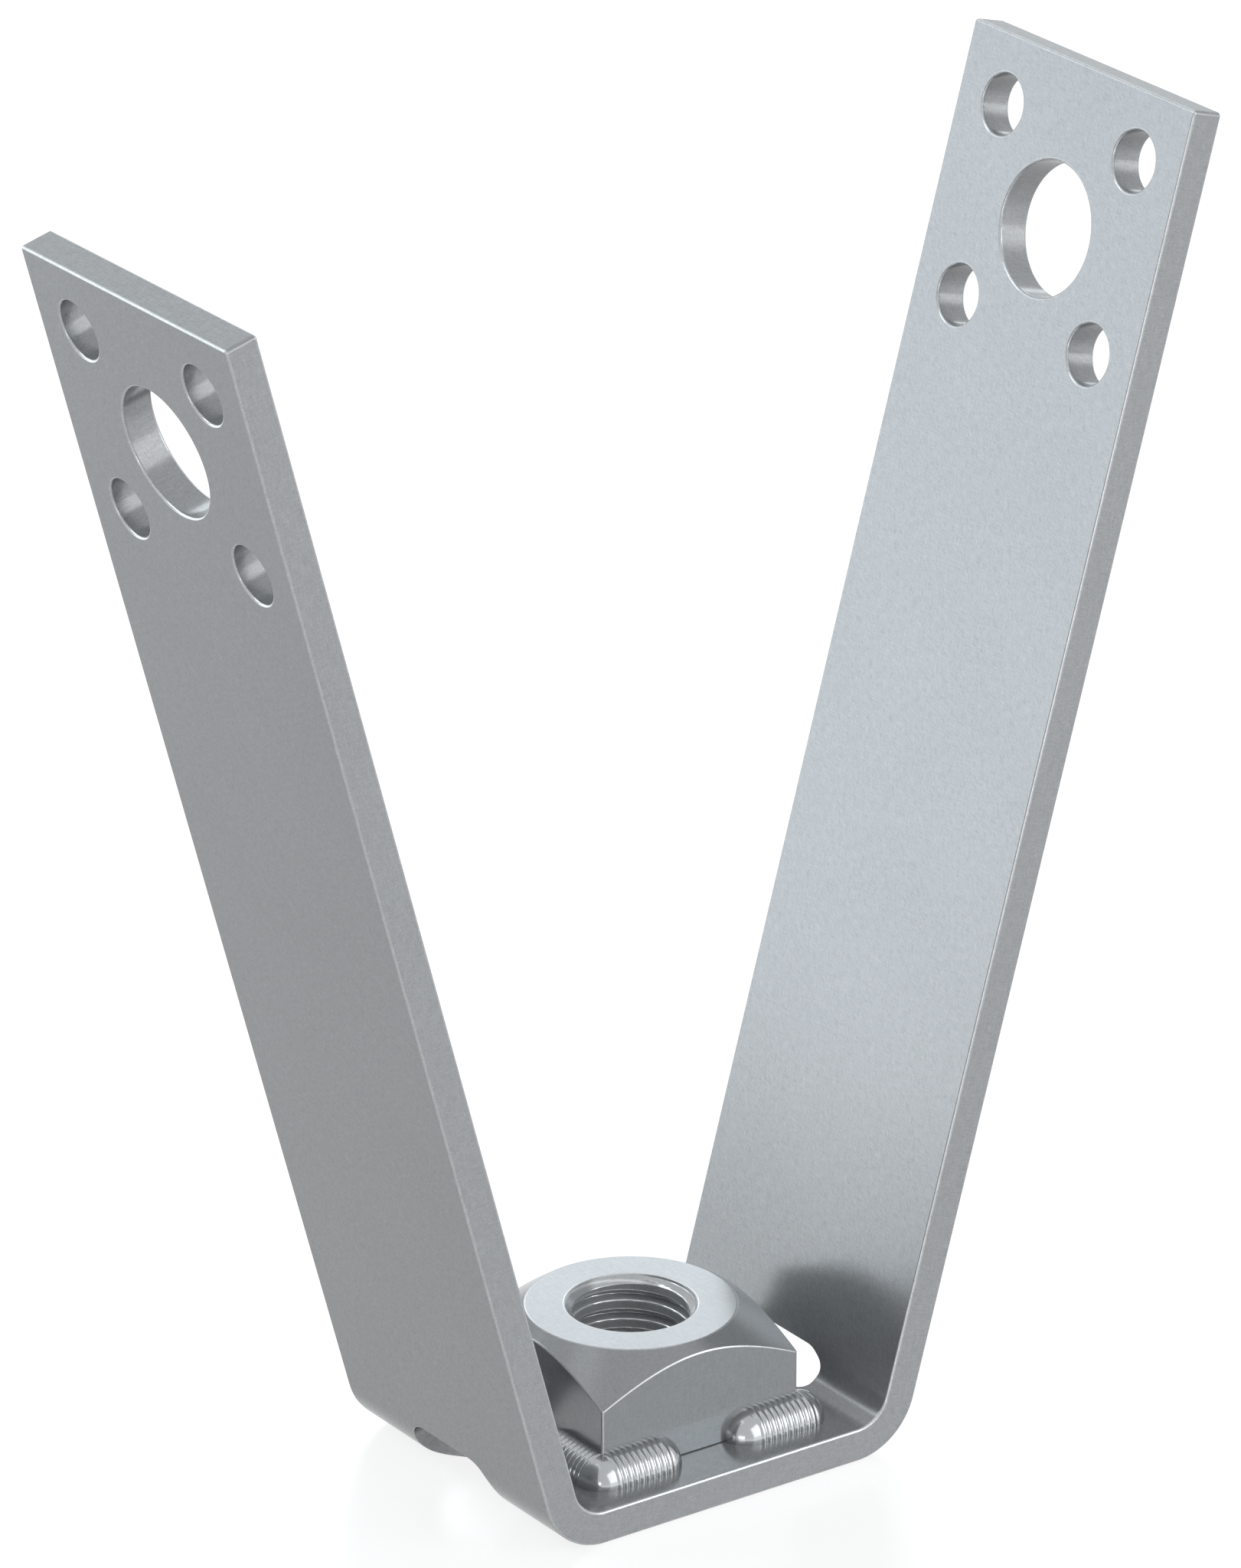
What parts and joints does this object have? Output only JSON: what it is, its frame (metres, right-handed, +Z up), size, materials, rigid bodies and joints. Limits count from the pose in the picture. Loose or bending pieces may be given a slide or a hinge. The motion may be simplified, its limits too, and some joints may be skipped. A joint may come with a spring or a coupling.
{
  "type": "ceiling hanger",
  "caption": "V-shaped strip steel hanger with an upright nut welded on its flat base and fixing holes in both legs.",
  "frame": {"origin": "centre of the base's flat underside, on the axis of the nut", "axes": "+Z up along the nut's axis, between the legs; +X towards the right leg; +Y along the strip's width, away from the viewer in the front view"},
  "size_m": [0.082, 0.025, 0.0959],
  "materials": {
    "strip_steel": "satin zinc-coated steel",
    "nut_steel": "satin zinc-coated steel",
    "weld_metal": "shiny zinc-coated weld metal"
  },
  "bodies": {
    "root": {"hanger_strip": "strip_steel", "square_nut": "nut_steel", "corner_weld_front": "weld_metal", "edge_weld_front": "weld_metal", "corner_weld_back": "weld_metal", "edge_weld_back": "weld_metal"}
  },
  "joints": []
}
